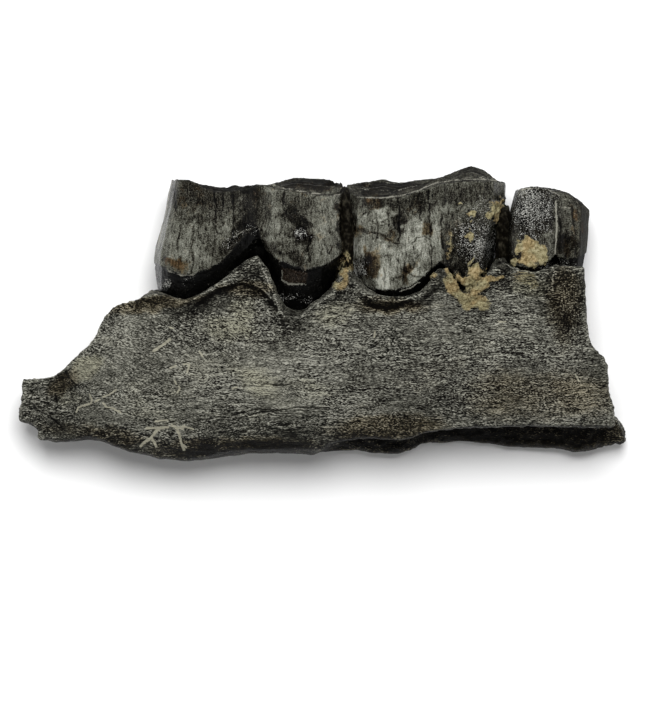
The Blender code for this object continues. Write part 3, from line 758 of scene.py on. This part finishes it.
def mud_and_shade_finish(material):
    """The dried mud that fills the gaps between the teeth: tan grains over black, the black being painted
    shade deep in the gaps.
    """
    finish = Finish(material)
    places = finish.places()
    clumps = finish.noise(places, 0.45, (1, 1.4, 1), detail=4, roughness=0.7)
    # Fewer tan grains towards the biting edges and on the rear clod, so more of the painted black shade
    # shows.
    bare = finish.rise(finish.part(places, "Y"), 4.5, 8.0) * 0.2
    bare = bare + finish.rise(finish.part(places, "X"), 10, 11) * 0.12
    dark = finish.ramp(clumps, [(0.3, 2, 1, 0), (0.5, 20, 17, 11), (0.7, 74, 70, 58)])
    share = finish.rise(clumps - bare, 0.46, 0.6)
    finish.set("Base Color", finish.blend(share, dark, sediment_colour(finish, places)))
    finish.set("Specular IOR Level", 0.15)
    finish.set("Roughness", 0.8)
    finish.set("Normal", finish.bump(clumps, 0.3))


def tooth_finish(material):
    """Glossy grey enamel streaked with black above a black root, with rust, sediment and worn dentine,
    painted shade in its hollows, painted glints on its edges and light specks that are partly painted
    glints.
    """
    finish = Finish(material)
    places = finish.places()
    wavy = finish.wandered(places, 1.6, 0.35)
    blotches = finish.wandered(places, 0.8, 0.6)
    blotches = finish.noise(blotches, 0.8, (1, 1.5, 1), detail=5, roughness=0.68) - 0.5
    streaks = finish.noise(wavy, 0.17, (1, 4.5, 1), detail=3, roughness=0.6) - 0.5
    speckle = finish.noise(places, 0.1, detail=1, roughness=0.65) - 0.5
    hairs = finish.threads(finish.noise(wavy, 0.34, (1, 14, 1), detail=1), 0.022)
    hairs = hairs * finish.rise(blotches, 0.0, 0.1)
    craze = finish.vector("MULTIPLY", finish.wandered(places, 0.5, 0.9), (0.7, 0.4, 0.7))
    craze = finish.node("TexVoronoi", {"feature": "DISTANCE_TO_EDGE"}, {"Vector": craze, "Scale": 1.0})
    craze = finish.rise(craze, 0.035, 0.0) * finish.rise(blotches, -0.03, -0.14)
    tone = 0.45 + streaks * 0.6 - finish.rise(streaks, -0.04, -0.2) * 0.2 + blotches * 0.66 + speckle * 1.05
    tone = tone + finish.painted("tone") * (0.95 + blotches * 2.6)
    # Painted shade: the hollow layer darkens the enamel in its hollows and lightens its ridges very
    # slightly.
    tone = tone - finish.painted("hollow") - craze * 0.18 - hairs * 0.24
    shade = finish.ramp(tone, [
        (0.0, 3, 3, 2), (0.2, 30, 28, 22), (0.34, 63, 61, 53), (0.5, 106, 106, 95), (0.75, 152, 153, 141),
        (1.0, 206, 207, 194),
    ])
    brown = finish.rise(finish.painted("brown") + blotches * 3.2 + speckle * 0.8, 0.35, 1.0)
    shade = finish.blend(brown * 0.9, shade, finish.ramp(tone, [
        (0.0, 6, 3, 1), (0.3, 46, 37, 23), (0.6, 106, 92, 66), (1.0, 176, 164, 134),
    ]))
    rust = finish.rise(finish.painted("rust") + blotches * 3.0 + streaks * 0.8, 0.35, 1.1)
    shade = finish.blend(rust * 0.75, shade, finish.ramp(streaks * 0.5 + speckle * 0.5 + 0.5, [
        (0.35, 28, 21, 12), (0.5, 82, 60, 36), (0.65, 120, 94, 62),
    ]))
    bands = finish.noise(wavy, 0.26, (5, 1, 1), detail=3, roughness=0.7)
    shade = finish.blend(finish.painted("worn"), shade, finish.ramp(bands + finish.painted("tone") * 0.2, [
        (0.3, 2, 2, 1), (0.45, 14, 12, 9), (0.53, 38, 35, 29), (0.6, 88, 85, 76), (0.72, 146, 143, 132),
    ]))
    above = finish.painted("above_base") + speckle * 0.5 + blotches * 1.1
    root = finish.rise(above, 0.14, -0.06)
    shade = finish.blend(root, shade, finish.ramp(blotches * 0.7 + speckle * 0.6 + 0.22, [
        (0.0, 1, 1, 1), (0.3, 6, 6, 5), (1.0, 56, 54, 49),
    ]))
    shade = finish.blend(finish.painted("tab"), shade, finish.ramp(speckle + streaks * 0.5 + 0.5, [
        (0.35, 10, 7, 3), (0.6, 44, 35, 26), (0.75, 88, 80, 70),
    ]))
    # Light specks, partly painted glints, on dark enamel and faintly all over the root.
    frost = finish.painted("frost") + root * 0.06
    frost = finish.rise(speckle + blotches * 0.5 + frost * 0.15, 0.17, 0.27) * finish.rise(frost, 0.03, 0.3)
    shade = finish.blend(frost * 0.85, shade, colour(220, 220, 212))
    # Painted glints along edges and ridges, and the rear molar's real pale crack.
    rim = finish.rise(finish.painted("rim") + speckle * 1.4 + blotches * 2.4, 0.45, 1.0)
    shade = finish.blend(rim * 0.8, shade, colour(180, 178, 164))
    sediment = finish.rise(finish.painted("sediment") + blotches * 1.2 + speckle * 0.8, 0.4, 0.62)
    shade = finish.blend(sediment, shade, sediment_colour(finish, places))
    finish.set("Base Color", shade)
    finish.set("Specular IOR Level", 0.2)
    finish.set("Roughness", 0.24 + blotches * 0.2 + sediment * 0.6 + finish.painted("dull") * 0.6)
    finish.set("Normal", finish.bump(streaks * 0.4 + speckle * 0.35 - craze * 0.2 - hairs * 0.3, 0.08))


def make_bone():
    """The jawbone: fibrous, with crested sockets, broken rough ends and an open channel."""
    bone = Relief("jawbone")
    points, facing = bone.points, bone.facing
    curly = bone.patched(CURLY_GRAIN, bone.seen)
    straight = lumps(points, 0.45, (5, 1, 3), octaves=2, seed=3)
    swirled = lumps(points @ turn_about_z(CURL_TURN), 0.45, (2.6, 1, 3), octaves=2, seed=4)
    grain = straight + (swirled - straight) * curly
    coarse = lumps(points, 2.4, (1.5, 1, 1), octaves=3, seed=5)
    ends = ease((FRONT_END_X - points[:, 0]) / 3) + ease((points[:, 0] - BACK_END_X) / 1.5)
    canal = inside_canal(bone)
    rough = lumps(points, 0.7, octaves=3, seed=6)
    seen = bone.wandering(1.2, 4.0)
    heights = 0.05 * grain + 0.07 * coarse + (0.05 + 0.14 * np.clip(ends + canal, 0, 1)) * rough
    for lines, height, width in LINE_RELIEFS:
        heights += height * facing * on_lines(seen, lines, width)
    sediment = np.maximum(bone.patched(BONE_SEDIMENT, seen), facing * on_lines(seen, [SEDIMENT_RIDGE], 4.0))
    heights += 0.2 * ease(sediment * 1.6) * (1 + 1.2 * rough)
    heights += facing * 0.15 * on_lines(seen, [SEDIMENT_RIDGE], 3.5)
    bone.move(heights)
    bone.read()
    fine_hollow, wide_hollow = bone.hollowness(3), bone.hollowness(40)
    tone = bone.toned(BONE_TONES, seen)
    for lines, depth, width in LINE_SHADOWS:
        tone -= depth * facing * on_lines(seen, lines, width)
    # Painted shade: the channel's walls and what lies below its upper lip are darkened, and browned.
    canal = np.maximum(canal, 0.85 * facing * inside_outline(bone.seen, CHANNEL_OUTLINE))
    tone -= 0.62 * canal
    # Painted shade: surfaces turned down, away from the lamp, are darkened, outside the channel.
    tone -= 0.3 * ease((-0.35 - bone.normals[:, 1]) / 0.5) * (1 - canal)
    back = 1 - facing
    stains = lumps(points, 5.0, (2, 1, 1), octaves=4, seed=11)
    tone += back * (0.3 * stains - 0.06)
    browns = np.maximum(bone.patched(BONE_BROWNS, seen), canal * 0.8)
    # The hollow layer below is painted shade in the hollows, with a little painted highlight on the ridges.
    bone.paint(
        tone=tone,
        hollow=np.clip(fine_hollow * 3.5 + wide_hollow * 0.35, -0.12, 0.6),
        yellow=np.maximum(bone.patched(BONE_YELLOWS, seen), back * (0.15 + 1.2 * stains)),
        brown=np.maximum(browns, back * (0.25 - 1.4 * stains)),
        sediment=sediment,
        curly=curly,
        upright=bone.patched([BROKEN_COLUMN], seen),
    )
    bone.finish("fossil_jawbone", BONE, "mineralised_bone")


def turn_about_z(degrees):
    """A matrix that turns rows of places in the plane of the cheek side."""
    cos, sin = cos_and_sin(degrees)
    return np.array([(cos, -sin, 0), (sin, cos, 0), (0, 0, 1)])


def inside_canal(bone):
    """1 on the walls of the open channel along the inside of the bone."""
    x, y, z = bone.points.T
    inward = bone.normals[:, 1] * (CANAL_Y - y) + bone.normals[:, 2] * (CANAL_Z - z)
    below = ease(CANAL_TOP_Y - y) * ease((CANAL_TOP_Z - z) / 0.6)
    return ease(inward / 1.5) * ease((x - CANAL_START_X) / 1.5) * below


def biting_depth(tooth):
    """How deep the biting surface is worn at each point, how bare its dentine is, and where it is."""
    x, y, z = tooth.points.T
    top = ease((tooth.normals[:, 1] - 0.45) / 0.3) * ease(y - TOOTH_TOP_Y)
    depth, bare = np.zeros(len(x)), np.zeros(len(x))
    for start, end in LOBES[tooth.node]:
        place = (x - (start + end) / 2) / ((end - start) / 2)
        inside = np.abs(place) < 1
        off = z - (PIT_MIDDLE_Z - PIT_CURVE * place**2)
        pit = ease(1.4 - np.abs(off) / PIT_WIDTH) * ease((PIT_REACH - np.abs(place)) / 0.12)
        trough = ease(1.6 - np.abs(np.abs(off) - TROUGH_OFFSET) / TROUGH_WIDTH)
        trough *= ease((TROUGH_REACH - np.abs(place)) / 0.15)
        depth += inside * (PIT_DEPTH * pit + TROUGH_DEPTH * trough)
        bare += inside * (trough + pit)
    return depth * top, np.clip(bare, 0, 1) * top, top


def broken_end(tooth):
    """1 on the end of the rear molar, where it is broken off."""
    if tooth.node != "rear_molar":
        return np.zeros(len(tooth.points))
    return ease((tooth.normals[:, 0] - 0.3) / 0.3) * ease(tooth.points[:, 0] - BROKEN_TOOTH_X)


def above_base(tooth, cheek_base, tongue_base):
    """How far each point is above the enamel's lower edge, in millimetres."""
    across, down = tooth.seen.T
    cheek = np.interp(across, *np.array(cheek_base, float).T)
    tongue = np.interp(across, *np.array(tongue_base, float).T)
    share = ease((tooth.points[:, 2] - 2) / 6)
    return (tongue + (cheek - tongue) * share - down) * PIXEL


def inside_outline(seen, outline):
    """1 inside a closed outline of pixels, and 0 outside."""
    crossings = np.zeros(len(seen), int)
    across, down = seen.T
    for (x0, y0), (x1, y1) in zip(outline, outline[1:] + outline[:1]):
        between = (y0 > down) != (y1 > down)
        crossings += between & (across < x0 + (x1 - x0) * (down - y0) / ((y1 - y0) or 1))
    return crossings % 2


def make_tooth(node, base, tongue_base, tones, browns, rust, sediment, cracks, rims, tab=None):
    """A cheek tooth: ribbed enamel over a root, worn into hollows on top, stained as the photograph shows,
    with painted shade in its hollows and painted glints on its edges.
    """
    tooth = Relief(node)
    depth, bare, top = biting_depth(tooth)
    tooth.points[:, 1] -= depth
    tooth.read()
    points, facing = tooth.points, tooth.facing
    above = above_base(tooth, base, tongue_base)
    enamel = ease(above / 0.14 + 0.5)
    ribs = lumps(points, 0.35, (1, 9, 1), octaves=2, seed=7)
    swells = lumps(points, 1.5, (1, 2.2, 1), octaves=2, seed=8)
    rough = lumps(points, 0.5, octaves=3, seed=9)
    seen = tooth.wandering(0.9, 6.5)
    crust = tooth.patched(sediment, seen)
    split = facing * on_lines(tooth.wandering(0.6, 1.5), cracks, 1.5)
    raised = facing * inside_outline(tooth.seen, tab) if tab else 0 * above
    heights = enamel * (0.03 * ribs + 0.06 * swells + 0.012 * rough) + (1 - enamel) * (0.05 * rough - 0.12)
    heights += 0.18 * ease(crust * 1.5) * (1 + 1.2 * rough) + 0.08 * raised - 0.06 * split
    tooth.move(heights)
    tooth.read()
    fine_hollow, wide_hollow = tooth.hollowness(3), tooth.hollowness(60)
    shaky = tooth.wandering(0.4, 0.8)
    back = 1 - facing
    stains = lumps(points, 2.4, (1, 1.6, 1), octaves=4, seed=12)
    tone = tooth.toned(tones, seen) - 0.27 * split - 0.15 * top - 0.2 * broken_end(tooth)
    # The hollow layer below is painted shade in the hollows, lightening the ridges very slightly.
    tooth.paint(
        tone=tone + back * (0.35 * stains - 0.06),
        hollow=np.clip(fine_hollow * 4 + (wide_hollow + 0.05) * 0.28, -0.03, 0.35),
        brown=np.maximum(tooth.patched(browns, seen), back * (0.25 - 1.5 * stains)),
        rust=tooth.patched(rust, seen),
        sediment=crust,
        worn=bare,
        dull=np.maximum(top, broken_end(tooth)),
        above_base=above,
        tab=raised,
        # The light specks are partly painted glints.
        frost=tooth.patched(SPECKS_AND_GLINTS, seen),
        # The edge lines are painted glints, except the rear molar's pale crack.
        rim=facing * np.max([share * on_lines(shaky, lines, 1.4) for lines, share in rims], axis=0),
    )
    tooth.finish(f"fossil_{node}", ENAMEL, "tooth_enamel")


def make_mud_and_shade(name, middle, size, lean):
    """A clod of dried mud wedged between two teeth, whose black also stands for the shade deep in the gap.
    It leans like the gap that it fills.
    """
    mesh = bmesh.new()
    bmesh.ops.create_icosphere(mesh, subdivisions=5, radius=1)
    for vert in mesh.verts:
        point = np.array(vert.co)
        point = np.sign(point) * np.abs(point) ** 0.8 * size
        point *= 1 + 0.16 * noise.fractal(point * 1.1, 1.0, 2.0, 5)
        point += middle
        point[0] += lean * (MUD_LEANS_FROM - point[2])
        vert.co = point * MM
    data = bpy.data.meshes.new(name)
    mesh.to_mesh(data)
    mesh.free()
    data.polygons.foreach_set("use_smooth", np.ones(len(data.polygons), bool))
    data.materials.append(MUD_AND_SHADE)
    clod = add_object(name, data)
    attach(clod, "root")


def make_floor():
    """A plain white sheet under the fossil."""
    mesh = bmesh.new()
    bmesh.ops.create_grid(mesh, x_segments=1, y_segments=1, size=FLOOR_SIZE)
    data = bpy.data.meshes.new("floor")
    mesh.to_mesh(data)
    mesh.free()
    floor = add_object("floor", data)
    material = bpy.data.materials.new("white_sheet")
    sheet = Finish(material)
    sheet.set("Base Color", (0.9, 0.9, 0.9, 1))
    sheet.set("Roughness", 0.9)
    data.materials.append(material)


def make_lights():
    """A soft lamp above the teeth, in a white room whose ceiling is dark."""
    world = bpy.data.worlds.new("white_room")
    bpy.context.scene.world = world
    room = Finish(world, "Background")
    direction = room.node("TexCoord", {}, {}, output="Generated")
    upward = room.node("SeparateXYZ", {}, {0: direction}, output="Z")
    ceiling = room.rise(upward, *CEILING_EDGE)
    room.set("Color", (1, 1, 1, 1))
    room.set("Strength", room.mixed(ceiling, WALL_LIGHT, CEILING_LIGHT))
    lamp = bpy.data.lights.new("soft_lamp", "AREA")
    lamp.shape = "DISK"
    lamp.size = LAMP_SIZE
    lamp.energy = LAMP_POWER
    light = add_object("soft_lamp", lamp)
    light.location = LAMP_PLACE
    light.visible_glossy = False
    light.rotation_euler = (-light.location).to_track_quat("-Z", "Y").to_euler()


def make_camera():
    """A camera that looks straight down, with the whole photograph in view."""
    data = bpy.data.cameras.new("camera")
    data.lens, data.sensor_width = LENS, SENSOR
    data.clip_start, data.clip_end = 0.01, 10
    camera = add_object("camera", data)
    camera.location = (PHOTO_MIDDLE[0] * MM, PHOTO_MIDDLE[1] * MM, (SUBJECT_HEIGHT + CAMERA_DISTANCE) * MM)
    bpy.context.scene.camera = camera
    bpy.context.scene.view_settings.view_transform = "Standard"


bone_finish(BONE)
tooth_finish(ENAMEL)
mud_and_shade_finish(MUD_AND_SHADE)
make_bone()
make_tooth(
    "front_molar", FRONT_BASE, FRONT_TONGUE_BASE, FRONT_TONES, FRONT_BROWNS, FRONT_RUST, FRONT_SEDIMENT,
    FRONT_CRACKS, [(FRONT_EDGE_GLINTS, 1.0), (FRONT_RIDGE_GLINTS, 0.7)], ROOT_TAB,
)
make_tooth(
    "middle_molar", MIDDLE_BASE, MIDDLE_TONGUE_BASE, MIDDLE_TONES, MIDDLE_BROWNS, MIDDLE_RUST,
    MIDDLE_SEDIMENT, MIDDLE_CRACKS, [(MIDDLE_EDGE_GLINTS, 1.0), (MIDDLE_RIDGE_GLINTS, 0.7)],
)
make_tooth(
    "rear_molar", REAR_BASE, REAR_TONGUE_BASE, REAR_TONES, REAR_BROWNS, REAR_RUST, REAR_SEDIMENT,
    REAR_CRACKS, [(REAR_EDGE_GLINTS, 1.0), (REAR_SEAMS, 1.7)],
)
for name, clod in MUD_AND_SHADE_CLODS.items():
    make_mud_and_shade(name, *clod)
make_floor()
make_lights()
make_camera()
